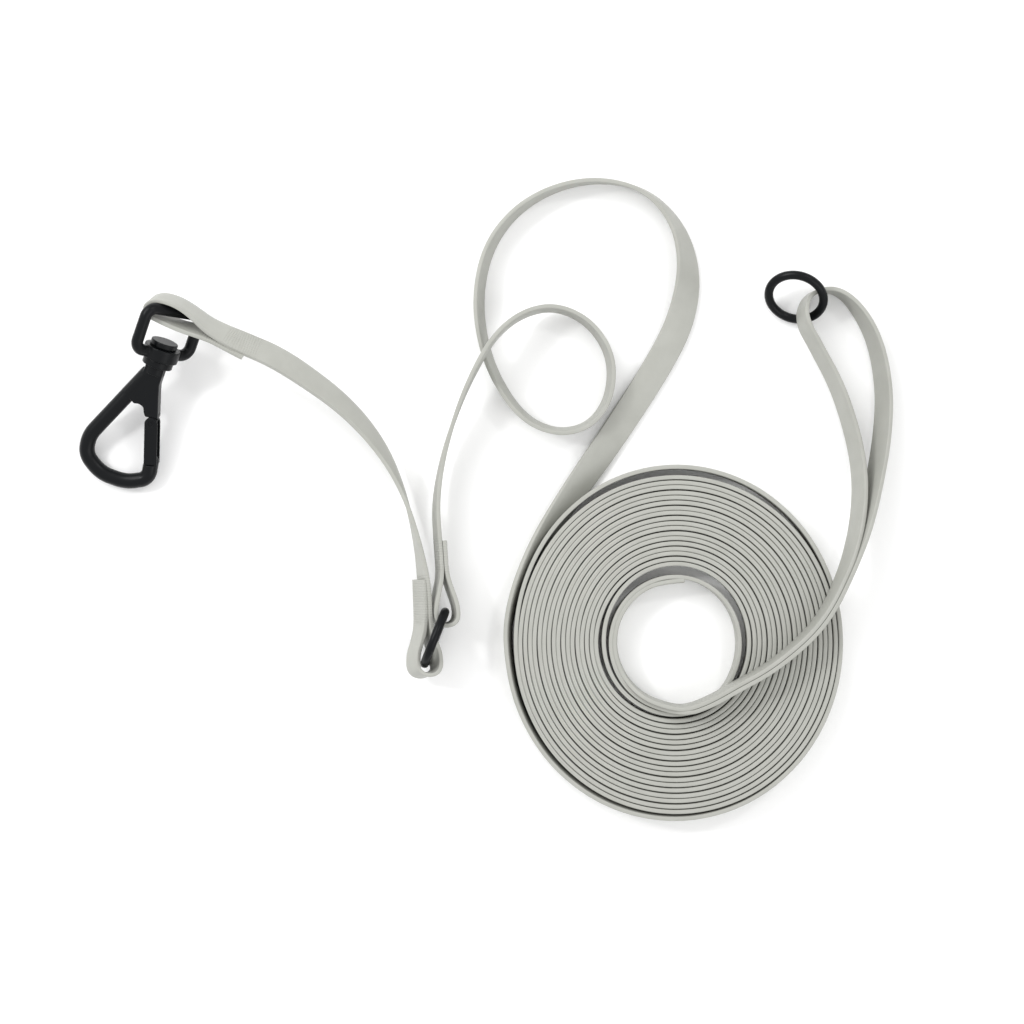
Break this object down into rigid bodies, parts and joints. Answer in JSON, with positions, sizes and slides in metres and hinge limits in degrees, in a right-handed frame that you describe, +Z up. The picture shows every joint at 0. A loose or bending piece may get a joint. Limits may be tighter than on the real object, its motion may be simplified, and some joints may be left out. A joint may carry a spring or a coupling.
{
  "type": "training leash",
  "caption": "Long flat coated-webbing leash coiled on its edge, with a handle loop and ring at one end and a coupler with a swivel snap hook at the other.",
  "frame": {"origin": "middle of the whole leash's bounding box in plan, on the ground it lies on", "axes": "+Z up from the ground, +Y from the connector ring towards the hook's eye and the handle ring, +X from the hook towards the handle"},
  "size_m": [0.4549, 0.3614, 0.0455],
  "materials": {
    "webbing": "smooth matte coating, light grey",
    "black_metal": "satin black plating"
  },
  "bodies": {
    "line": {"lead_strap": "webbing", "line_coil": "webbing", "handle_strap": "webbing"},
    "loose_ring": {"handle_ring": "black_metal"},
    "joining_ring": {"connector_ring": "black_metal"},
    "coupler": {"coupler_strap": "webbing"},
    "eye": {"swivel_eye": "black_metal"},
    "hook": {"hook_frame": "black_metal", "swivel_stud": "black_metal", "gate_pin": "black_metal"},
    "gate": {"hook_gate": "black_metal", "gate_spring": "black_metal"}
  },
  "joints": [
    {"name": "handle_ring_spin", "type": "hinge", "parent": "line", "child": "loose_ring", "pos_m": [0.1751, 0.1139, 0.01376], "axis": [-0.2418, -0.6645, 0.7071], "continuous": true},
    {"name": "ring_swing", "type": "hinge", "parent": "line", "child": "joining_ring", "pos_m": [-0.02192, -0.06268, 0.018], "axis": [0, 0, 1], "range_deg": [0, 20]},
    {"name": "coupler_swing", "type": "hinge", "parent": "joining_ring", "child": "coupler", "pos_m": [-0.03328, -0.09152, 0.018], "axis": [0, 0, 1], "range_deg": [0, 20]},
    {"name": "eye_tilt", "type": "hinge", "parent": "coupler", "child": "eye", "pos_m": [-0.1714, 0.10432, 0.031], "axis": [0.7258, -0.083, -0.6829], "range_deg": [-18, 0]},
    {"name": "hook_swivel", "type": "hinge", "parent": "eye", "child": "hook", "pos_m": [-0.1812, 0.0788, 0.02367], "axis": [0.3462, 0.9018, 0.2588], "continuous": true},
    {"name": "gate_hinge", "type": "hinge", "parent": "hook", "child": "gate", "pos_m": [-0.18623, 0.04338, 0.01433], "axis": [-0.0928, -0.2416, 0.9659], "range_deg": [-22, 0], "stiffness_Nm_per_rad": 0.03, "springref_deg": 20.05, "deforming": ["gate_spring"]}
  ]
}
